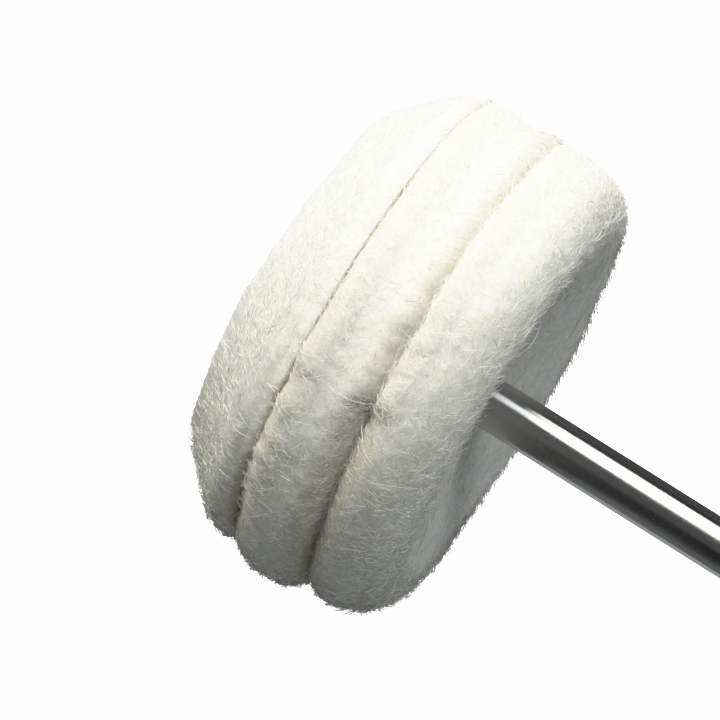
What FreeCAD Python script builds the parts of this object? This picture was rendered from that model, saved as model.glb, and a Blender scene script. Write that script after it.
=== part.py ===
"""Mounted felt polishing wheel for a rotary handpiece. Units: mm.

Three thick wool felt discs (plies) are pinched at the hub between the shoulder of a plain
steel shank and a washer, and held by a headed pin pressed into the shank. The plies are squeezed
thin at the hub and keep their full thickness at the rim, so both faces of the wheel are dished and
a V groove opens between neighbouring plies.

Frame: the spin axis is Y. The origin is on it, in the plane of the shank's shoulder.
The shank runs towards +Y, the wheel's working front faces -Y, and +Z is up.
"""

import FreeCAD, Part
import math
import os

V = FreeCAD.Vector

# Wheel
REAR_PLY_RADIUS = 11.3  # felt only, without the nap that stands proud of it
MIDDLE_PLY_RADIUS = 11.45  # sheltered between the other two, so it has worn least
FRONT_PLY_RADIUS = 11.0
PLY_COUNT = 3
HUB_PLY = 2.7  # thickness of one ply where it is pinched
REAR_RIM = 1.55  # how far the rear ply's rim reaches back past the shoulder
REAR_RIM_PLY = 3.5  # thickness of the rear ply at its rim, between corners not yet rounded
MIDDLE_RIM_PLY = 3.8
FRONT_RIM_PLY = 3.9
RIM_GAP = 0.1  # air between two plies at their widest, just inside the rounded edges
REAR_RING_RADIUS = 8.6  # outside this the dished rear face runs square to the axis
FRONT_RING_RADIUS = 6.6  # the same on the front face
DISH_BEND = 4.0  # radius of the bend between the dish and the rim's flat
PINCH_RADIUS = 2.9  # how far the steep part of the shank's dimple reaches from the axis
PINCH_SHARE = 0.35  # share of the dish's depth that the dimple takes
PINCH_BEND = 1.0  # radius of the bend round the dimple's mouth
SEAM_RADIUS = 5.6  # outside this the plies fan out towards the rim
SEAM_BEND = 6.0  # radius of the bend where they start to
EDGE_RADIUS = 1.45  # rounding of a ply's edge on a V groove
REAR_EDGE_RADIUS = 2.15  # rounding of the wheel's rear edge
WORN_EDGE = 2.9  # size of the bevel that use has worn on the wheel's front edge
WORN_BEND = 1.0  # rounding of that bevel's two corners
WORN_EDGE_SEAM_RADIUS = 0.5  # rounding of the front ply's other edge, on its V groove

# Shank
SHANK_RADIUS = 1.175  # 2.35 mm handpiece shank
OVERALL_LENGTH = 44.5  # from the wheel's front rim to the shank's tail
SHANK_TAIL_CHAMFER = 0.3
SHOULDER_EDGE_BREAK = 0.05
PIN_HOLE_DEPTH = 6.5
DRILL_POINT_ANGLE = 118.0  # degrees, at the bottom of the pin hole

# Headed pin and washer
PIN_RADIUS = 0.65
PIN_ENGAGEMENT = 6.0  # length pressed into the shank
PIN_TIP_CHAMFER = 0.2
HEAD_RADIUS = 1.9
HEAD_EDGE = 0.25  # height of the head's straight edge
HEAD_HEIGHT = 0.75
WASHER_RADIUS = 3.0
WASHER_THICKNESS = 0.45
WASHER_EDGE_BREAK = 0.1
WASHER_HOLE_CLEARANCE = 0.03

# Worked out
HUB_FRONT = -HUB_PLY * PLY_COUNT
REAR_GROOVE = REAR_RIM - REAR_RIM_PLY
MIDDLE_BACK = REAR_GROOVE - RIM_GAP
MIDDLE_FRONT = MIDDLE_BACK - MIDDLE_RIM_PLY
FRONT_GROOVE = MIDDLE_FRONT - RIM_GAP
FRONT_RIM = FRONT_GROOVE - FRONT_RIM_PLY
SHANK_END = FRONT_RIM + OVERALL_LENGTH


def revolve(edges):
    """Turns a closed outline in the XY plane (x = radius, y = along the axis) about the Y axis."""
    face = Part.Face(Part.Wire(edges))
    return face.revolve(V(0, 0, 0), V(0, 1, 0), 360.0)


def outline(points):
    """Straight edges through the points and back to the first."""
    corners = [V(x, y, 0) for x, y in points]
    return Part.makePolygon(corners + corners[:1]).Edges


def corner_arc(before, corner, after, radius):
    """Start, middle and end of the arc that rounds a corner of an outline."""
    to_before = V(before[0] - corner[0], before[1] - corner[1], 0).normalize()
    to_after = V(after[0] - corner[0], after[1] - corner[1], 0).normalize()
    half = to_before.getAngle(to_after) / 2.0
    reach = radius / math.tan(half)
    point = V(corner[0], corner[1], 0)
    bisector = (to_before + to_after).normalize()
    middle = point + bisector * (radius / math.sin(half) - radius)
    return point + to_before * reach, middle, point + to_after * reach


def rounded_outline(points):
    """A closed outline of (x, y, radius) corners. Radius 0 leaves a sharp corner."""
    edges = []
    count = len(points)
    ends = []
    for i, (x, y, radius) in enumerate(points):
        before = points[i - 1][:2]
        after = points[(i + 1) % count][:2]
        if radius > 0:
            start, middle, end = corner_arc(before, (x, y), after, radius)
            arc = Part.Arc(start, middle, end).toShape()
            ends.append((start, end, arc))
        else:
            ends.append((V(x, y, 0), V(x, y, 0), None))
    for i, (_, end, arc) in enumerate(ends):
        if arc is not None:
            edges.append(arc)
        j = (i + 1) % count
        following = ends[j][0]
        side = V(points[j][0] - points[i][0], points[j][1] - points[i][1], 0)
        if (following - end).dot(side) < 0:
            raise ValueError(f"corners {i} and {j} are rounded into each other")
        if end.distanceToPoint(following) > 1e-6:
            edges.append(Part.LineSegment(end, following).toShape())
    return edges


def dished_face(hub_y, rim_y):
    """Corners of the wheel's rear face, from the pin hole to the rounded rim."""
    return [
        (PIN_RADIUS, hub_y, 0),
        (SHANK_RADIUS, hub_y, 0),
        (PINCH_RADIUS, hub_y + PINCH_SHARE * (rim_y - hub_y), PINCH_BEND),
        (REAR_RING_RADIUS, rim_y, DISH_BEND),
        (REAR_PLY_RADIUS, rim_y, REAR_EDGE_RADIUS),
    ]


def washer_face(hub_y, rim_y):
    """Corners of the wheel's front face: the washer's flat seat, the dish and the worn edge."""
    return [
        (PIN_RADIUS, hub_y, 0),
        (WASHER_RADIUS, hub_y, 0),
        (FRONT_RING_RADIUS, rim_y, DISH_BEND),
        (FRONT_PLY_RADIUS - WORN_EDGE, rim_y, WORN_BEND),
        (FRONT_PLY_RADIUS, rim_y + WORN_EDGE, WORN_BEND),
    ]


def seam_face(hub_y, rim_y, radius, edge_radius):
    """Corners of a face between two plies: pressed together, then parting towards the rim."""
    return [
        (PIN_RADIUS, hub_y, 0),
        (SEAM_RADIUS, hub_y, SEAM_BEND),
        (radius, rim_y, edge_radius),
    ]


def ply(front_face, rear_face):
    """A felt ply between two faces, each listed from the pin hole outwards."""
    return revolve(rounded_outline(front_face + rear_face[::-1]))


def make_plies():
    """The three plies, each meeting its neighbour at the hub."""
    rear_seam = -HUB_PLY
    front_seam = -2.0 * HUB_PLY
    rear = ply(
        seam_face(rear_seam, REAR_GROOVE, REAR_PLY_RADIUS, EDGE_RADIUS),
        dished_face(0.0, REAR_RIM),
    )
    middle = ply(
        seam_face(front_seam, MIDDLE_FRONT, MIDDLE_PLY_RADIUS, EDGE_RADIUS),
        seam_face(rear_seam, MIDDLE_BACK, MIDDLE_PLY_RADIUS, EDGE_RADIUS),
    )
    front = ply(
        washer_face(HUB_FRONT, FRONT_RIM),
        seam_face(front_seam, FRONT_GROOVE, FRONT_PLY_RADIUS, WORN_EDGE_SEAM_RADIUS),
    )
    return {"ply_rear": rear, "ply_middle": middle, "ply_front": front}


def make_shank():
    """Plain rod with a blind drilled hole in its shoulder and a chamfered tail."""
    drill_tip = PIN_RADIUS / math.tan(math.radians(DRILL_POINT_ANGLE / 2.0))
    return revolve(
        outline(
            [
                (PIN_RADIUS, 0.0),
                (SHANK_RADIUS - SHOULDER_EDGE_BREAK, 0.0),
                (SHANK_RADIUS, SHOULDER_EDGE_BREAK),
                (SHANK_RADIUS, SHANK_END - SHANK_TAIL_CHAMFER),
                (SHANK_RADIUS - SHANK_TAIL_CHAMFER, SHANK_END),
                (0.0, SHANK_END),
                (0.0, PIN_HOLE_DEPTH + drill_tip),
                (PIN_RADIUS, PIN_HOLE_DEPTH),
            ]
        )
    )


def make_rivet_pin():
    """Straight pin with a domed head that bears on the washer."""
    seat = HUB_FRONT - WASHER_THICKNESS
    edge = seat - HEAD_EDGE
    crown = seat - HEAD_HEIGHT
    dome = HEAD_HEIGHT - HEAD_EDGE
    sphere = (HEAD_RADIUS**2 + dome**2) / (2.0 * dome)
    half_way = HEAD_RADIUS / 2.0
    dome_y = crown + sphere - math.sqrt(sphere**2 - half_way**2)
    path = [
        V(0, PIN_ENGAGEMENT, 0),
        V(PIN_RADIUS - PIN_TIP_CHAMFER, PIN_ENGAGEMENT, 0),
        V(PIN_RADIUS, PIN_ENGAGEMENT - PIN_TIP_CHAMFER, 0),
        V(PIN_RADIUS, seat, 0),
        V(HEAD_RADIUS, seat, 0),
        V(HEAD_RADIUS, edge, 0),
    ]
    edges = Part.makePolygon(path).Edges
    edges.append(Part.Arc(path[-1], V(half_way, dome_y, 0), V(0, crown, 0)).toShape())
    edges.append(Part.LineSegment(V(0, crown, 0), path[0]).toShape())
    return revolve(edges)


def make_front_washer():
    """Flat washer with its outer edges broken."""
    rear = HUB_FRONT
    front = HUB_FRONT - WASHER_THICKNESS
    hole = PIN_RADIUS + WASHER_HOLE_CLEARANCE
    flat = WASHER_RADIUS - WASHER_EDGE_BREAK
    return revolve(
        outline(
            [
                (hole, rear),
                (flat, rear),
                (WASHER_RADIUS, rear - WASHER_EDGE_BREAK),
                (WASHER_RADIUS, front + WASHER_EDGE_BREAK),
                (flat, front),
                (hole, front),
            ]
        )
    )


def main():
    os.makedirs("parts", exist_ok=True)
    nodes = make_plies()
    nodes["shank"] = make_shank()
    nodes["front_washer"] = make_front_washer()
    nodes["rivet_pin"] = make_rivet_pin()
    for name, solid in nodes.items():
        box = solid.optimalBoundingBox()
        print(
            f"{name}: valid {solid.isValid()}, volume {solid.Volume:.2f} mm3,"
            f" y {box.YMin:.3f} to {box.YMax:.3f}, radius {box.XMax:.3f}"
        )
        solid.exportStep(f"parts/{name}.step")


main()
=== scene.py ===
"""Felt polishing wheel on a handpiece shank: three fuzzy wool plies pinched on ground steel.

Metres, in the CAD model's frame. The spin axis is Y and the shank runs towards +Y. Each ply is
its CAD outline turned about the axis and made uneven, with wool fibres laid over it.
"""

import math

import bpy
import numpy as np
from mathutils import Matrix, Vector


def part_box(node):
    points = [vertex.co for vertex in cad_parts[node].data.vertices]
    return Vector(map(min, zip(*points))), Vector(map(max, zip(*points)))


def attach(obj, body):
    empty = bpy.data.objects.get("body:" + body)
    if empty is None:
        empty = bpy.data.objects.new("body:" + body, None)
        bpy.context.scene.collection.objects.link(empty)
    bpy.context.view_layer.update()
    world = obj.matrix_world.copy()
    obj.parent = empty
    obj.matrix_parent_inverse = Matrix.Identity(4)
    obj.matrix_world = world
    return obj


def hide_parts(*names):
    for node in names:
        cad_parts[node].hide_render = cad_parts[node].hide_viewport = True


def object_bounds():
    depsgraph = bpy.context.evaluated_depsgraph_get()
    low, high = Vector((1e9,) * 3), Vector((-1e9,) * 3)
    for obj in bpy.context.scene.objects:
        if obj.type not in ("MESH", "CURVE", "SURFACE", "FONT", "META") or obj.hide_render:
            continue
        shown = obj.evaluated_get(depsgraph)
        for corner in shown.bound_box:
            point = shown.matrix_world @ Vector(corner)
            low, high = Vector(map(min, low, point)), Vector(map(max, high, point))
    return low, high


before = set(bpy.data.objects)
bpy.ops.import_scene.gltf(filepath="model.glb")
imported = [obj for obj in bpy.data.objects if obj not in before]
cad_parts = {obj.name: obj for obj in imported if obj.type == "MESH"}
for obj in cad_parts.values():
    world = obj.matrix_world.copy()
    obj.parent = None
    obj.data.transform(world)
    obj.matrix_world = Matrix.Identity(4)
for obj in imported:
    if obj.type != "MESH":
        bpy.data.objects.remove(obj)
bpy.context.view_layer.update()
scene = bpy.context.scene

MM = 0.001
AXIS = Vector((0, 1, 0))
rng = np.random.default_rng(7)

# Camera
SHANK_DROP = math.radians(32.2)  # the shank's slope, down to the right
SHANK_TOWARDS = math.radians(9.2)  # how far the shank leans towards the camera
CAMERA_DISTANCE = 200 * MM
AIM_RIGHT = 5.64 * MM  # from the picture's centre to the shank's root
AIM_DOWN = 1.83 * MM
ROOT_Y = 0.55 * MM
LENS_MM = 226.7

# Light. Directions are in degrees: round the axis, then leaning from there to the wheel's front
KEY_DIRECTION = (-51, 29)
KEY_DISTANCE = 0.35
KEY_SIZE = 0.34
KEY_POWER = 2.28
KEY_COLOUR = (1.0, 0.99, 0.88)
ROOM_COLOUR = (0.93, 0.98, 1.0)
ROOM_LEVEL = 0.012
WHITE_STRENGTH = 2.0  # of the backdrop and the floor, enough for the tone curve to leave them white
FLOOR_SIZE = 6.0
FLOOR_DROP = 0.6 * MM  # below the CAD box, to clear the nap

# Tone curve, with what comes out for what goes in
TONE_WHITE = 1.4
TONE_POINTS = ((0.25, 0.35), (0.45, 0.63), (0.70, 0.90))
TONE_END = (1.0, 0.985)

# Felt
AROUND_STEPS = 600  # mesh quads round a ply
RIM_STEP = 0.1 * MM  # mesh spacing over the rim
HUB_STEP = 0.3 * MM  # mesh spacing nearer the axis
RIM_FROM = 8 * MM  # radius where one changes to the other
OUTLINE_STEPS = 3000  # places along a ply's outline where its values are kept
OUTLINE_BLUR = 91  # how many of them its direction is averaged over
LUMPS = ((3.4 * MM, 0.13 * MM), (1.1 * MM, 0.045 * MM), (0.4 * MM, 0.03 * MM))  # size, height
SEAM_EVEN_TO = 8.3 * MM  # within this radius the plies stay as pressed together
SEAM_RAMP = 2.4 * MM  # radius over which they then become uneven
FACE_RAMP = 1.0 * MM  # the same on the wheel's front and rear faces
EDGE_FROM = 9.2 * MM  # radius beyond which an outline's bend is a groove's edge
GROOVE_FILL = 0.6 * MM  # how far the fluffed edges of a groove swell where it is nearly shut
OPEN_FILL = 0.1  # share of that everywhere
REAR_SHUT = (-0.2, 0.45)  # a groove goes from shut to open as the cosine of the angle from
FRONT_SHUT = (0.0, 0.95)  # RUNOUT_ANGLE goes from the first to the second
UNEVEN_CLOSING = 0.2  # how much that cosine wavers, so a groove doesn't shut in an even line
UNEVEN_RADIUS = 11 * MM
UNEVEN_SIZE = 0.9 * MM
RUNOUT = math.radians(1.3)  # how far the wheel's plane is out of square with the shank
RUNOUT_ANGLE = math.radians(-14)  # round the axis, where runout and slip are greatest
OFF_CENTRE = 0.25 * MM  # how far the middle ply has slipped sideways
WORN_SLOPE = 0.38 * MM  # how far wear has lowered the rear ply's rim at the back, on its low side
WORN_ROUND = (-0.6, 0.5)  # cosine of the angle from RUNOUT_ANGLE, from no wear to full wear
WORN_ALONG = (-2 * MM, 1.2 * MM)  # y, from no wear to full wear
EDGE_SHADE_RADII = (7.5 * MM, 9 * MM)  # where the grey painted shade on the front edge fades in
PLY_CLEARANCE = 0.01 * MM  # between a ply and the surface halfway to its neighbour
SEAM_BEND_RADII = (0.7, 4.8, 5.2, 5.6, 6.0, 6.4, 9.4)  # mm, where that surface is worked out
BEYOND_RIM = 14 * MM  # radius that it is carried on to

# Nap
FIBRE_THICKNESS = 0.026 * MM
FUZZ_POINTS = 4
CURL_POINTS = 6
STRAY_POINTS = 10
TUCKED = 0.03 * MM  # how deep a fibre's ends are set into the felt
FELT_SHARE = 0.6  # how far a fibre's normals lean to those of the felt under it
USUAL_TONES = (0.3, 0.3, 0.22, 0.12, 0.06, 0)  # shares of WOOL_TONES
EDGE_TONES = (0.25, 0.2, 0.2, 0.2, 0.1, 0.05)
# The haze over the front edge leans to the grey tones, as painted shade
HAZE_SHADE_TONES = (0, 0, 0.2, 0.35, 0.05, 0.4)
# Fibres across the grooves lean to the darker tones, as painted shade
GROOVE_SHADE_TONES = (0.1, 0.2, 0.3, 0.2, 0.2, 0)
FIBRE_SHARE = 1  # of the fibres that are made


# ---------------------------------------------------------------- camera

def camera_axes():
    """Right, up and back of a level camera that sees the spin axis at those two angles."""
    sin_a = -math.cos(SHANK_TOWARDS) * math.cos(SHANK_DROP)
    cos_a = -math.sqrt(1 - sin_a**2)
    cos_e = -math.sin(SHANK_TOWARDS) / cos_a
    sin_e = math.sqrt(1 - cos_e**2)
    right = Vector((cos_a, -sin_a, 0))
    up = Vector((sin_e * sin_a, sin_e * cos_a, cos_e))
    return right, up, right.cross(up)


RIGHT, UP, BACK = camera_axes()


def turned(right, up, back):
    """The rotation of an object that faces away from back."""
    return Matrix((right, up, back)).transposed().to_quaternion()


def make_camera():
    data = bpy.data.cameras.new("camera")
    data.lens = LENS_MM
    data.clip_start = 0.01
    data.clip_end = 10
    cam = bpy.data.objects.new("camera", data)
    scene.collection.objects.link(cam)
    root = Vector((0, ROOT_Y, 0))
    cam.location = root - RIGHT * AIM_RIGHT + UP * AIM_DOWN + BACK * CAMERA_DISTANCE
    cam.rotation_mode = "QUATERNION"
    cam.rotation_quaternion = turned(RIGHT, UP, BACK)
    bpy.context.scene.camera = cam


make_camera()

# ---------------------------------------------------------------- light and floor
NEAR = (BACK - AXIS * BACK.dot(AXIS)).normalized()
LOW = AXIS.cross(NEAR)
if LOW.dot(UP) > 0:
    LOW = -LOW


def around(angle, towards_front):
    """A direction round the spin axis: 0 is level with the camera and 90 is below it, in degrees."""
    a = math.radians(angle)
    f = math.radians(towards_front)
    return (NEAR * math.cos(a) + LOW * math.sin(a)) * math.cos(f) - AXIS * math.sin(f)


def make_softbox():
    """One large square light, above the wheel and in front of it."""
    data = bpy.data.lights.new("key", "AREA")
    data.shape = "RECTANGLE"
    data.size = KEY_SIZE
    data.size_y = KEY_SIZE
    data.energy = KEY_POWER
    data.color = KEY_COLOUR
    light = bpy.data.objects.new("key", data)
    scene.collection.objects.link(light)
    out = around(*KEY_DIRECTION).normalized()
    across = AXIS - out * AXIS.dot(out)
    across.normalize()
    light.location = out * KEY_DISTANCE
    light.rotation_mode = "QUATERNION"
    light.rotation_quaternion = turned(across, out.cross(across), out)


make_softbox()

# Direction, then reach and softness of the edge in degrees, then strength
GLOWS = (
    ((-4, 0), 28, 8, 0.09),  # dim, level with the camera
    ((142, 0), 24, 6, 0.45),  # behind and below
    ((-125, 0), 32, 10, 0.08),  # dim, behind and above
    ((60, -80), 45, 12, 0.42),  # off the shank's tail, for the wheel's rear face
    ((106, 42), 28, 8, 0.75),  # below and in front
    ((-44, -12), 11, 7, 6.0),  # small and bright, for the shank's highlight
)


def make_world():
    """A dim room with a few broad soft glows. The camera itself sees plain white."""
    world = bpy.data.worlds.new("studio")
    bpy.context.scene.world = world
    world.use_nodes = True
    tree = world.node_tree
    nodes, links = tree.nodes, tree.links
    room = nodes["Background"]
    room.inputs["Color"].default_value = (*ROOM_COLOUR, 1)
    direction = nodes.new("ShaderNodeTexCoord").outputs["Generated"]
    level = None
    for middle, reach, edge, strength in GLOWS:
        dot = nodes.new("ShaderNodeVectorMath")
        dot.operation = "DOT_PRODUCT"
        dot.inputs[1].default_value = around(*middle)
        links.new(direction, dot.inputs[0])
        shape = nodes.new("ShaderNodeMapRange")
        shape.interpolation_type = "SMOOTHSTEP"
        shape.inputs["From Min"].default_value = math.cos(math.radians(reach + edge))
        shape.inputs["From Max"].default_value = math.cos(math.radians(reach - edge))
        shape.inputs["To Max"].default_value = strength
        links.new(dot.outputs["Value"], shape.inputs["Value"])
        add = nodes.new("ShaderNodeMath")
        add.inputs[0].default_value = ROOM_LEVEL
        links.new(shape.outputs["Result"], add.inputs[1])
        if level:
            links.new(level, add.inputs[0])
        level = add.outputs["Value"]
    links.new(level, room.inputs["Strength"])
    backdrop = nodes.new("ShaderNodeBackground")
    backdrop.inputs["Strength"].default_value = WHITE_STRENGTH
    seen = nodes.new("ShaderNodeLightPath").outputs["Is Camera Ray"]
    mix = nodes.new("ShaderNodeMixShader")
    links.new(seen, mix.inputs["Fac"])
    links.new(room.outputs[0], mix.inputs[1])
    links.new(backdrop.outputs[0], mix.inputs[2])
    links.new(mix.outputs[0], nodes["World Output"].inputs["Surface"])


def set_tones():
    """Rolls off the brightest tones, so pale wool keeps its texture beside the white."""
    view = scene.view_settings
    view.view_transform = "Standard"
    view.use_curve_mapping = True
    mapping = view.curve_mapping
    mapping.white_level = (TONE_WHITE, TONE_WHITE, TONE_WHITE)
    mapping.extend = "HORIZONTAL"
    curve = mapping.curves[3]
    curve.points[-1].location = TONE_END
    for tone_in, tone_out in TONE_POINTS:
        curve.points.new(tone_in, tone_out)
    mapping.update()
    scene.cycles.use_denoising = True
    scene.cycles.denoiser = "OPENIMAGEDENOISE"


make_world()
set_tones()


def make_floor():
    """A pale floor, bright enough to show no shadow, which only the camera sees."""
    me = bpy.data.meshes.new("floor")
    half = FLOOR_SIZE / 2
    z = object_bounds()[0].z - FLOOR_DROP
    corners = [(-half, -half, z), (half, -half, z), (half, half, z), (-half, half, z)]
    me.from_pydata(corners, [], [(0, 1, 2, 3)])
    floor = bpy.data.objects.new("floor", me)
    scene.collection.objects.link(floor)
    mat = bpy.data.materials.new("floor")
    mat.use_nodes = True
    p = mat.node_tree.nodes["Principled BSDF"]
    p.inputs["Base Color"].default_value = (0.8, 0.8, 0.8, 1)
    p.inputs["Roughness"].default_value = 0.9
    p.inputs["Emission Color"].default_value = (1, 1, 1, 1)
    p.inputs["Emission Strength"].default_value = WHITE_STRENGTH
    me.materials.append(mat)
    floor.visible_diffuse = False
    floor.visible_glossy = False
    floor.visible_transmission = False
    floor.visible_shadow = False


make_floor()

# ---------------------------------------------------------------- noise
CELLS = 64
LATTICE = rng.random((CELLS, CELLS, CELLS))
TWIST = np.array(Matrix.Rotation(0.9, 3, Vector((0.6, 0.5, 0.62))))


def noise(points, lump, salt=0.0):
    """Smooth noise between -1 and 1 at many points, with lumps of the given size.

    It is two grids, one twisted against the other, so neither one's rows show.
    """
    return 0.75 * (cells(points, lump, salt) + cells(points @ TWIST, lump, salt + 5.3))


def cells(points, lump, salt):
    """Random values at the corners of a grid, smoothly filled in between."""
    q = points / lump + salt
    low = np.floor(q).astype(int)
    f = q - low
    f = f * f * (3 - 2 * f)
    total = np.zeros(len(points))
    for corner in np.ndindex(2, 2, 2):
        i, j, k = ((low + corner) % CELLS).T
        total += np.prod(np.where(corner, f, 1 - f), axis=1) * LATTICE[i, j, k]
    return 2 * total - 1


def smoothstep(low, high, value):
    t = np.clip((value - low) / (high - low), 0, 1)
    return t * t * (3 - 2 * t)


# ---------------------------------------------------------------- felt plies

def half_section(node):
    """A turned CAD node's outline in the half plane x > 0, z = 0, as a loop of (radius, y)."""
    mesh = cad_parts[node].data
    points = [(round(v.co.x, 7), round(v.co.y, 7)) for v in mesh.vertices]
    cut = {v.index for v in mesh.vertices if abs(v.co.z) < 1e-8 and v.co.x > 0}
    links = {}
    for a, b in (e.vertices for e in mesh.edges):
        if a in cut and b in cut and points[a] != points[b]:
            links.setdefault(points[a], set()).add(points[b])
            links.setdefault(points[b], set()).add(points[a])
    start = min(links)
    loop = [start]
    step = max(links[start])
    while step != start:
        loop.append(step)
        step = next(p for p in links[step] if p != loop[-2])
    return np.array(loop)


class Ply:
    """A ply's surface: its CAD outline turned about the axis, then made uneven as felt is.

    A place on it is a distance along the outline, out over the front face and back over the
    rear one, and an angle about the axis. shut_front and shut_rear say how the groove on that
    side shuts, and a side without one is a face of the wheel, uneven outside even_to.
    """

    def __init__(self, node, salt, shut_front=None, shut_rear=None, even_to=0.0):
        self.node = node
        self.salt = salt
        self.shut = (shut_front, shut_rear)
        self.off_centre = 0.0
        self.worn_slope = 0.0
        self.lowest = None
        self.highest = None
        self.trace_outline()
        grooved = np.where(self.along < self.rim, shut_front is not None, shut_rear is not None)
        even = np.where(grooved, SEAM_EVEN_TO, even_to)
        ramp = np.where(grooved, SEAM_RAMP, FACE_RAMP)
        self.free = smoothstep(even, even + ramp, self.radius)
        # Groove walls, where the felt is darkened and warmed as painted shade
        self.groove_shade = np.where(grooved, smoothstep(0.15, 0.75, np.abs(self.normal_y)), 0)
        bend = 2 * np.abs(self.normal_r * self.normal_y) * (self.radius > EDGE_FROM)
        self.corner = np.where(grooved, bend**1.5, 0)
        # Painted shade: a grey band over the outer front-facing edge, away from the grooves
        front_facing = smoothstep(0.3, 0.85, -self.normal_y)
        self.edge_shade_mask = front_facing * smoothstep(*EDGE_SHADE_RADII, self.radius) * ~grooved

    def trace_outline(self):
        """Radius, y and direction at even steps along the outline, and where its rim is."""
        loop = half_section(self.node)
        loop = np.vstack([loop, loop[:1]])
        reach = np.concatenate([[0], np.cumsum(np.hypot(*np.diff(loop, axis=0).T))])
        self.length = reach[-1]
        self.along = np.linspace(0, self.length, OUTLINE_STEPS)
        self.radius = np.interp(self.along, reach, loop[:, 0])
        self.y = np.interp(self.along, reach, loop[:, 1])
        slope_r = self.blurred(np.gradient(self.radius))
        slope_y = self.blurred(np.gradient(self.y))
        size = np.hypot(slope_r, slope_y)
        self.normal_r = slope_y / size
        self.normal_y = -slope_r / size
        self.rim = self.along[np.argmax(self.radius)]

    @staticmethod
    def blurred(values):
        blur = np.hanning(OUTLINE_BLUR)
        blur /= blur.sum()
        half = len(blur) // 2
        padded = np.concatenate([values[-half:], values, values[:half]])
        return np.convolve(padded, blur, "valid")

    def read(self, values, along):
        return np.interp(along, self.along, values, period=self.length)

    def on_side(self, side):
        """The part of the outline on the front (-1) or rear (1) of the rim."""
        return (self.along - self.rim) * side > 0

    def edge(self, side):
        """Where the outline turns halfway into the groove on the front (-1) or rear (1)."""
        return self.along[np.argmax(self.corner * self.on_side(side))]

    def face(self, side, radius):
        """The outline's y at a radius, on its front face (-1) or rear face (1)."""
        on_side = self.on_side(side)
        order = np.argsort(self.radius[on_side], kind="stable")
        return np.interp(radius, self.radius[on_side][order], self.y[on_side][order])

    def held(self, distance, y):
        """The y of a point that far from the axis, kept clear of the neighbouring plies."""
        if self.lowest is not None:
            y = np.maximum(y, np.interp(distance, *self.lowest) + PLY_CLEARANCE)
        if self.highest is not None:
            y = np.minimum(y, np.interp(distance, *self.highest) - PLY_CLEARANCE)
        return y

    def place(self, along, angle, height=0.0):
        """Points of the surface, or at a height above it."""
        radius = self.read(self.radius, along)
        y = self.read(self.y, along)
        free = self.read(self.free, along)
        cos, sin = np.cos(angle), np.sin(angle)
        flat = np.stack([radius * cos, y, radius * sin], axis=-1)
        bulge = sum(tall * noise(flat, wide, self.salt + wide) for wide, tall in LUMPS)
        towards = np.cos(angle - RUNOUT_ANGLE)
        lift = free * bulge + self.fluff(along, angle)
        normal_r = self.read(self.normal_r, along)
        normal_y = self.read(self.normal_y, along)
        radius = radius + lift * normal_r - free * self.wear(y, angle)
        share = (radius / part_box("ply_middle")[1].x) ** 2
        distance = radius + share * self.off_centre * towards
        y = self.held(distance, y + lift * normal_y) + height * normal_y
        y = y + share * distance * towards * math.tan(RUNOUT)
        radius = radius + height * normal_r
        x = radius * cos + share * self.off_centre * math.cos(RUNOUT_ANGLE)
        z = radius * sin + share * self.off_centre * math.sin(RUNOUT_ANGLE)
        return np.stack([x, y, z], axis=-1)

    def wear(self, y, angle):
        """How far wear has lowered the rim."""
        low_side = smoothstep(*WORN_ROUND, np.cos(angle - RUNOUT_ANGLE))
        return self.worn_slope * low_side * smoothstep(*WORN_ALONG, y)

    def normals(self, along, angle):
        """Directions straight out of the surface, before it is made uneven."""
        y = self.read(self.y, along)
        step = 0.1 * MM
        slope = (self.wear(y + step, angle) - self.wear(y - step, angle)) / (2 * step)
        out = self.read(self.normal_r, along)
        back = self.read(self.normal_y, along) + slope * out
        return np.stack([out * np.cos(angle), back, out * np.sin(angle)], axis=-1)

    def closing(self, along, angle):
        """How nearly shut the groove on a point's side is, from 0 to 1. The wheel's faces give 0."""
        closed = np.zeros(len(along))
        ring = np.stack([np.cos(angle), 0 * angle, np.sin(angle)], axis=-1) * UNEVEN_RADIUS
        uneven = UNEVEN_CLOSING * noise(ring, UNEVEN_SIZE, self.salt)
        towards = np.cos(angle - RUNOUT_ANGLE) + uneven
        for side, shut in zip((along < self.rim, along >= self.rim), self.shut):
            if shut is not None:
                closed += side * smoothstep(shut[1], shut[0], towards)
        return closed

    def fluff(self, along, angle):
        """How far the felt beside a groove swells. It shuts the groove on one side of the wheel."""
        return GROOVE_FILL * self.read(self.corner, along) * (self.closing(along, angle) + OPEN_FILL)

    def groove_shade_depth(self, along, angle):
        """How much painted shade, darker and warmer, a point inside a groove gets. It is fainter
        where that shuts.
        """
        return self.read(self.groove_shade, along) * (1 - 0.45 * self.closing(along, angle))

    def grid_lines(self):
        """Where the mesh's rings lie along the outline: close together over the rim."""
        step = np.where(self.radius > RIM_FROM, RIM_STEP, HUB_STEP)
        count = np.concatenate([[0], np.cumsum(np.diff(self.along) / step[1:])])
        rings = int(count[-1])
        return np.interp(np.arange(rings), count * rings / count[-1], self.along)

    def body(self):
        lines = self.grid_lines()
        rings = len(lines)
        angles = np.linspace(0, 2 * math.pi, AROUND_STEPS, endpoint=False)
        along, angle = (a.ravel() for a in np.meshgrid(lines, angles, indexing="ij"))
        i, j = np.meshgrid(np.arange(rings), np.arange(AROUND_STEPS), indexing="ij")
        ring, ring_2 = i * AROUND_STEPS, (i + 1) % rings * AROUND_STEPS
        j_2 = (j + 1) % AROUND_STEPS
        quads = np.stack([ring + j, ring_2 + j, ring_2 + j_2, ring + j_2], axis=-1)
        obj = make_mesh(self.node + "_felt", self.place(along, angle), quads.reshape(-1, 4))
        # The groove attribute holds the painted shade in the grooves
        self.store(obj, "groove", self.groove_shade_depth(along, angle))
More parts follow.
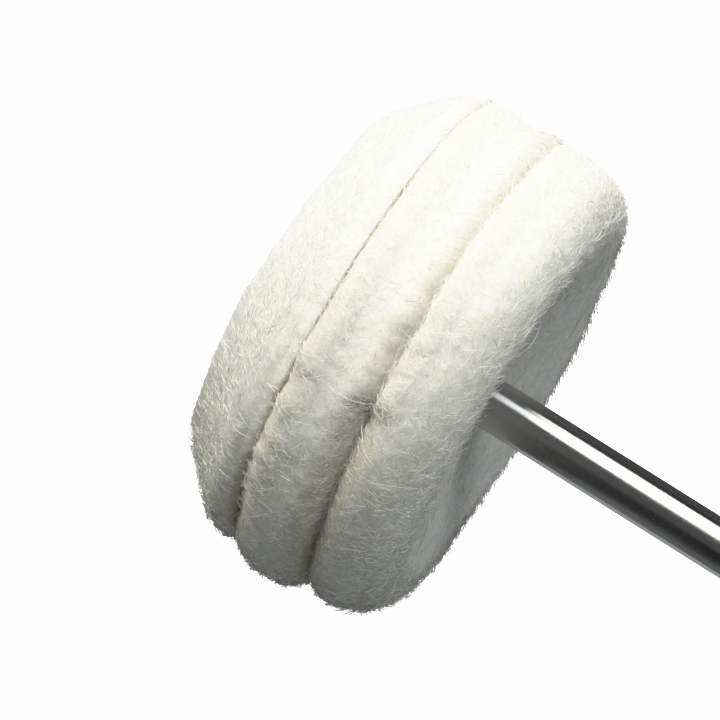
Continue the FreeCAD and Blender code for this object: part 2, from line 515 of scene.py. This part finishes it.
        # Where the front edge is greyed as painted shade
        self.store(obj, "painted_edge_shade", self.read(self.edge_shade_mask, along))
        return obj

    @staticmethod
    def store(obj, name, values):
        """Keeps a value at each point of a mesh, for its material to read."""
        obj.data.attributes.new(name, "FLOAT", "POINT").data.foreach_set("value", values)


def part_plies(front, rear):
    """Keeps two plies on their own sides of the surface halfway between them."""
    radii = np.array(SEAM_BEND_RADII) * MM
    halfway = (front.face(1, radii) + rear.face(-1, radii)) / 2
    slope = (halfway[-1] - halfway[-2]) / (radii[-1] - radii[-2])
    last = halfway[-1] + slope * (BEYOND_RIM - radii[-1])
    line = (np.append(radii, BEYOND_RIM), np.append(halfway, last))
    front.highest = line
    rear.lowest = line


def make_mesh(name, points, faces):
    mesh = bpy.data.meshes.new(name)
    mesh.vertices.add(len(points))
    mesh.vertices.foreach_set("co", points.astype(np.float32).ravel())
    mesh.loops.add(faces.size)
    mesh.loops.foreach_set("vertex_index", faces.astype(np.int32).ravel())
    mesh.polygons.add(len(faces))
    starts = np.arange(0, faces.size, faces.shape[1], dtype=np.int32)
    mesh.polygons.foreach_set("loop_start", starts)
    mesh.update(calc_edges=True)
    mesh.shade_smooth()
    obj = bpy.data.objects.new(name, mesh)
    scene.collection.objects.link(obj)
    return obj


# ---------------------------------------------------------------- materials

class Nodes:
    """Short ways to add linked nodes to a material."""

    def __init__(self, name):
        self.material = bpy.data.materials.new(name)
        self.material.use_nodes = True
        self.nodes = self.material.node_tree.nodes
        self.links = self.material.node_tree.links
        self.shader = self.nodes["Principled BSDF"]

    def set(self, **values):
        for name, value in values.items():
            self.shader.inputs[name.replace("_", " ")].default_value = value

    def link(self, output, name):
        self.links.new(output, self.shader.inputs[name])

    def noise(self, scale, detail=4, roughness=0.55, stretch=(1, 1, 1)):
        """Noise over the object, with lumps about 1/scale metres across."""
        coord = self.nodes.new("ShaderNodeTexCoord")
        mapping = self.nodes.new("ShaderNodeMapping")
        mapping.inputs["Scale"].default_value = [scale * s for s in stretch]
        tex = self.nodes.new("ShaderNodeTexNoise")
        tex.inputs["Scale"].default_value = 1
        tex.inputs["Detail"].default_value = detail
        tex.inputs["Roughness"].default_value = roughness
        self.links.new(coord.outputs["Object"], mapping.inputs["Vector"])
        self.links.new(mapping.outputs["Vector"], tex.inputs["Vector"])
        return tex.outputs["Fac"]

    def ramp(self, value, low, high, to_low, to_high):
        node = self.nodes.new("ShaderNodeMapRange")
        node.inputs["From Min"].default_value = low
        node.inputs["From Max"].default_value = high
        node.inputs["To Min"].default_value = to_low
        node.inputs["To Max"].default_value = to_high
        self.links.new(value, node.inputs["Value"])
        return node.outputs["Result"]

    def times(self, first, second):
        node = self.nodes.new("ShaderNodeMath")
        node.operation = "MULTIPLY"
        self.links.new(first, node.inputs[0])
        self.links.new(second, node.inputs[1])
        return node.outputs["Value"]

    def mix(self, factor, first, second):
        """Mixed colours. Each may be a colour or an output."""
        node = self.nodes.new("ShaderNodeMix")
        node.data_type = "RGBA"
        self.links.new(factor, node.inputs["Factor"])
        for name, value in (("A", first), ("B", second)):
            socket = [s for s in node.inputs if s.name == name and s.type == "RGBA"][0]
            if isinstance(value, tuple):
                socket.default_value = (*value, 1)
            else:
                self.links.new(value, socket)
        return [s for s in node.outputs if s.type == "RGBA"][0]

    def bump(self, height, distance, strength=1.0, over=None):
        node = self.nodes.new("ShaderNodeBump")
        node.inputs["Distance"].default_value = distance
        node.inputs["Strength"].default_value = strength
        self.links.new(height, node.inputs["Height"])
        if over:
            self.links.new(over, node.inputs["Normal"])
        return node.outputs["Normal"]

    def attribute(self, name):
        node = self.nodes.new("ShaderNodeAttribute")
        node.attribute_name = name
        return node.outputs["Fac"]


FELT = (0.82, 0.81, 0.75)
FELT_PALE = (0.92, 0.91, 0.86)
FELT_FLECK = (0.71, 0.70, 0.635)
# Painted shade: the darker, warmer felt inside the grooves
FELT_GROOVE_SHADE = (0.66, 0.61, 0.48)
# Painted shade: grey on the front edge of the wheel
FELT_EDGE_SHADE = (0.62, 0.64, 0.64)


def felt_material():
    """Matted wool: pale patches and darker flecks, with darker, warmer felt in the grooves and grey
    on the front edge, both painted shade.
    """
    m = Nodes("felt")
    patches = m.ramp(m.noise(1200, 5), 0.35, 0.65, 0, 1)
    flecks = m.ramp(m.noise(4500, 4), 0.4, 0.75, 0, 1)
    wool = m.mix(patches, FELT, FELT_PALE)
    wool = m.mix(flecks, wool, FELT_FLECK)
    # Painted shade in the grooves
    wool = m.mix(m.attribute("groove"), wool, FELT_GROOVE_SHADE)
    # Grey painted shade on the front edge, in patches
    edge_shade_patches = m.times(m.attribute("painted_edge_shade"), m.ramp(m.noise(450, 5), 0.35, 0.6, 0.3, 1))
    m.link(m.mix(edge_shade_patches, wool, FELT_EDGE_SHADE), "Base Color")
    fuzz = m.bump(m.noise(3000, 6, 0.7), 0.04 * MM, 0.7)
    m.link(m.bump(m.noise(11000, 4, 0.7), 0.02 * MM, 0.6, over=fuzz), "Normal")
    m.set(Roughness=0.95, Specular_IOR_Level=0.2, Sheen_Weight=0.15, Sheen_Roughness=0.6)
    m.set(Subsurface_Weight=0.35, Subsurface_Scale=0.5 * MM, Subsurface_Radius=(1.0, 0.9, 0.7))
    return m.material


def fibre_material(name, colour):
    """One plain tone. A fibre is thinner than any pattern on it, so the tone varies by fibre."""
    m = Nodes(name)
    m.set(Base_Color=(*colour, 1), Roughness=0.95, Specular_IOR_Level=0.05)
    return m.material


def steel_material(name, colour, rough, grind=1.0):
    """Steel turned about the Y axis, with fine marks round it and faint smudges."""
    m = Nodes(name)
    marks = m.noise(260, 3, 0.6, stretch=(0.35, 110 * grind, 0.35))
    smudge = m.noise(420, 4, 0.6, stretch=(1, 0.35, 1))
    tint = tuple(c * 0.9 for c in colour)
    m.link(m.mix(m.ramp(smudge, 0.35, 0.7, 0, 1), colour, tint), "Base Color")
    m.link(m.ramp(smudge, 0.3, 0.75, rough * 0.8, rough * 1.2), "Roughness")
    m.link(m.bump(marks, 0.0015 * MM, 0.5), "Normal")
    tangent = m.nodes.new("ShaderNodeTangent")
    tangent.direction_type = "RADIAL"
    tangent.axis = "Y"
    m.link(tangent.outputs["Tangent"], "Tangent")
    m.set(Metallic=1.0, Anisotropic=0.95, Anisotropic_Rotation=0.25)
    return m.material


STEELS = {
    "shank": steel_material("shank_steel", (0.62, 0.615, 0.60), 0.26),
    "front_washer": steel_material("washer_steel", (0.66, 0.66, 0.655), 0.36, grind=0.3),
    "rivet_pin": steel_material("pin_steel", (0.60, 0.60, 0.59), 0.3, grind=0.5),
}
for node, look in STEELS.items():
    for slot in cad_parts[node].material_slots:
        slot.material = look

WOOL_TONES = [
    fibre_material("wool_white", (0.93, 0.92, 0.88)),
    fibre_material("wool_cream", (0.88, 0.865, 0.79)),
    fibre_material("wool_natural", (0.82, 0.81, 0.74)),
    fibre_material("wool_grey", (0.72, 0.72, 0.68)),
    fibre_material("wool_straw", (0.66, 0.61, 0.48)),
    # A blue-grey tone that stands in for shade on the fuzz at the wheel's edge
    fibre_material("wool_shaded", (0.56, 0.58, 0.585)),
]

# ---------------------------------------------------------------- nap

def crooked_paths(ply, low, high, count, length, heights, points, curl=900, spread=0.9):
    """Fibres that wander over a ply between two places along its outline.

    Lengths are in metres, and low and high are measured from the rim. heights gives a fibre's
    height above the felt from its share of the way along (0 to 1). spread is how far a fibre's
    heading is from straight round the wheel, and curl how fast it turns.
    """
    count = int(count * FIBRE_SHARE)
    along = rng.uniform(ply.rim + low, ply.rim + high, count)
    angle = rng.uniform(0, 2 * math.pi, count)
    step = rng.uniform(*length, count)[:, None] / (points - 1)
    heading = rng.normal(0, spread, count)[:, None] + np.cumsum(
        rng.normal(0, curl, (count, points)) * step, axis=1
    )
    radius = ply.read(ply.radius, along)[:, None]
    along = along[:, None] + np.cumsum(step * np.sin(heading), axis=1)
    angle = angle[:, None] + np.cumsum(step * np.cos(heading) / radius, axis=1)
    t = np.linspace(0, 1, points)[None, :]
    height = heights(t, count)
    paths = ply.place(along.ravel(), angle.ravel(), height.ravel())
    return paths.reshape(count, points, 3), ply.normals(along, angle)


def lying(low, high):
    """Heights of fibres tucked in at both ends."""

    def heights(t, count):
        lift = rng.uniform(low, high, (count, 1))
        skew = rng.uniform(0.7, 1.5, (count, 1))
        return lift * np.sin(math.pi * t**skew) - TUCKED

    return heights


def standing(low, high):
    """Heights of fibres that leave the felt and end in the air."""

    def heights(t, count):
        lift = low + (high - low) * rng.random((count, 1)) ** 2
        droop = rng.uniform(0.6, 1.2, (count, 1))
        return lift * np.sin(droop * math.pi / 2 * t) - TUCKED

    return heights


def bridging_paths(front, rear, shut, count):
    """Fibres that cross the groove between two plies, most where it is shut."""
    count = int(count * FIBRE_SHARE)
    tries = 3 * count
    angle = rng.uniform(0, 2 * math.pi, tries)
    closed = smoothstep(shut[1], shut[0], np.cos(angle - RUNOUT_ANGLE))
    keep = np.flatnonzero(rng.random(tries) < 0.5 + 0.5 * closed)[:count]
    angle = angle[keep]
    depth = 0.7 * (1 - closed[keep])  # mm further into the groove where it is open
    count = len(angle)
    starts = front.edge(1) + (rng.uniform(-0.5, 0.6, count) + depth) * MM
    ends = rear.edge(-1) + (rng.uniform(-0.6, 0.5, count) - depth) * MM
    twist = rng.normal(0, 0.15, count)
    a = front.place(starts, angle - twist, -0.02 * MM)
    b = rear.place(ends, angle + twist, -0.02 * MM)
    t = np.linspace(0, 1, CURL_POINTS)[None, :, None]
    slack = np.sin(math.pi * t)
    paths = a[:, None] * (1 - t) + b[:, None] * t
    out = paths[:, :, [0, 2]] / np.linalg.norm(paths[:, :, [0, 2]], axis=2, keepdims=True)
    paths[:, :, [0, 2]] += out * rng.uniform(-0.5, 0.05, (count, 1, 1)) * MM * slack
    paths += rng.normal(0, 0.05 * MM, paths.shape) * slack
    normals = front.normals(starts, angle)[:, None] * (1 - t) + rear.normals(ends, angle)[:, None] * t
    return paths, normals


def spindle(points):
    """Triangles of one fibre: both its ends, then three points round each place between them."""
    tris = []
    last = 2 + 3 * (points - 3)
    for k in range(3):
        n = (k + 1) % 3
        tris += [(0, 2 + n, 2 + k), (1, last + k, last + n)]
        for a in range(2, last, 3):
            tris += [(a + k, a + n, a + 3 + n), (a + k, a + 3 + n, a + 3 + k)]
    return np.array(tris)


def fibre_piece(name, laid, tones=USUAL_TONES, thickness=FIBRE_THICKNESS, share=FELT_SHARE):
    """Many fibres as one mesh: each a closed three-sided spindle along its path.

    laid is the paths and the felt's normals along them. A fibre's normals lean to the felt's, so
    that it is lit like the felt under it, as fine translucent wool is.
    """
    paths, normals = laid
    count, points, _ = paths.shape
    forward = np.gradient(paths, axis=1)
    side = np.cross(forward, rng.normal(size=(count, 1, 3)))
    side /= np.linalg.norm(side, axis=2, keepdims=True)
    other = np.cross(forward, side)
    other /= np.linalg.norm(other, axis=2, keepdims=True)
    t = np.linspace(0, 1, points)[1:-1]
    taper = np.minimum(1, 3.2 * np.minimum(t, 1 - t))[None, :, None, None]
    half = (thickness * rng.uniform(0.35, 0.65, count))[:, None, None, None] * taper
    turn = np.array([0, 1, 2]) * 2 * math.pi / 3
    cos, sin = np.cos(turn)[None, None, :, None], np.sin(turn)[None, None, :, None]
    out = cos * side[:, 1:-1, None, :] + sin * other[:, 1:-1, None, :]
    rings = paths[:, 1:-1, None, :] + half * out
    verts = np.concatenate([paths[:, [0, -1]], rings.reshape(count, -1, 3)], axis=1)
    ring_shading = out * (1 - share) + normals[:, 1:-1, None, :] * share
    shading = [normals[:, [0, -1]], ring_shading.reshape(count, -1, 3)]
    shading = np.concatenate(shading, axis=1).reshape(-1, 3)
    shading /= np.linalg.norm(shading, axis=1, keepdims=True)
    tris = spindle(points)
    faces = (tris[None] + (np.arange(count) * verts.shape[1])[:, None, None]).reshape(-1, 3)
    obj = make_mesh(name, verts.reshape(-1, 3), faces)
    obj.data.normals_split_custom_set_from_vertices(shading)
    for tone in WOOL_TONES:
        obj.data.materials.append(tone)
    which = rng.choice(len(WOOL_TONES), size=count, p=tones)
    obj.data.polygons.foreach_set("material_index", np.repeat(which, len(tris)).astype(np.int32))
    # Light passes through fibres this fine, so they neither shade the felt nor light it
    obj.visible_shadow = False
    obj.visible_diffuse = False
    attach(obj, "root")


# ---------------------------------------------------------------- pieces
felt = felt_material()
rear = Ply("ply_rear", 3.1, shut_front=REAR_SHUT, even_to=1.3 * MM)
middle = Ply("ply_middle", 11.7, shut_front=FRONT_SHUT, shut_rear=REAR_SHUT)
front = Ply("ply_front", 23.9, shut_rear=FRONT_SHUT, even_to=3.1 * MM)
rear.worn_slope = WORN_SLOPE
middle.off_centre = OFF_CENTRE
part_plies(middle, rear)
part_plies(front, middle)
for ply in (rear, middle, front):
    body = ply.body()
    body.data.materials.append(felt)
    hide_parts(ply.node)
    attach(body, "root")

# The nap all over each rim: short standing fuzz, in two pieces, and longer curls lying on it
for name, ply in (("nap_rear", rear), ("nap_middle", middle), ("nap_front", front)):
    low, high = -3.3 * MM, 3.8 * MM
    for part in "ab":
        lengths, heights = (0.25 * MM, 0.6 * MM), standing(0.04 * MM, 0.34 * MM)
        fuzz = crooked_paths(ply, low, high, 14000, lengths, heights, FUZZ_POINTS)
        fibre_piece(f"{name}_fuzz_{part}", fuzz)
    lengths, heights = (0.5 * MM, 1.3 * MM), lying(0.04 * MM, 0.14 * MM)
    curls = crooked_paths(ply, low, high, 3000, lengths, heights, CURL_POINTS)
    fibre_piece(name + "_curls", curls, share=0.42)

# Flatter fibres on the wheel's two dished faces
for name, ply, low, high in (
    ("nap_rear_dish", rear, 2.4 * MM, 10.5 * MM),
    ("nap_front_dish", front, -9.5 * MM, -2.4 * MM),
):
    lengths, heights = (0.3 * MM, 0.8 * MM), lying(0.01 * MM, 0.09 * MM)
    fuzz = crooked_paths(ply, low, high, 7000, lengths, heights, CURL_POINTS, spread=2)
    fibre_piece(name, fuzz)

# Looser ones on the wheel's two outer edges
for name, ply, low, high in (
    ("nap_rear_edge", rear, 1.0 * MM, 3.4 * MM),
    ("nap_front_edge", front, -3.6 * MM, -0.8 * MM),
):
    lengths, heights = (0.4 * MM, 1.1 * MM), standing(0.06 * MM, 0.5 * MM)
    loose = crooked_paths(ply, low, high, 7000, lengths, heights, CURL_POINTS)
    fibre_piece(name, loose, EDGE_TONES, share=0.45)

# A fine haze over the front edge, in grey tones as painted shade
lengths, heights = (0.5 * MM, 1.0 * MM), standing(0.1 * MM, 0.5 * MM)
haze = crooked_paths(front, -4.2 * MM, -0.6 * MM, 6000, lengths, heights, CURL_POINTS)
fibre_piece("nap_front_haze", haze, HAZE_SHADE_TONES, FIBRE_THICKNESS * 0.7, share=0.75)

# A few long strays
for name, ply, low, high, count in (
    ("nap_rear_strays", rear, -2.5 * MM, 4.5 * MM, 180),
    ("nap_middle_strays", middle, -2.2 * MM, 2.2 * MM, 60),
    ("nap_front_strays", front, -4.5 * MM, 2.5 * MM, 120),
):
    lengths, heights = (2.2 * MM, 5.5 * MM), lying(0.08 * MM, 0.45 * MM)
    strays = crooked_paths(
        ply, low, high, count, lengths, heights, STRAY_POINTS, curl=450, spread=1.6
    )
    fibre_piece(name, strays, share=0.5)

# Fibres across the grooves, in darker tones as painted shade
for name, before, behind, shut in (
    ("nap_rear_groove", middle, rear, REAR_SHUT),
    ("nap_front_groove", front, middle, FRONT_SHUT),
):
    crossing = bridging_paths(before, behind, shut, 8000)
    fibre_piece(name, crossing, GROOVE_SHADE_TONES, FIBRE_THICKNESS * 1.1)
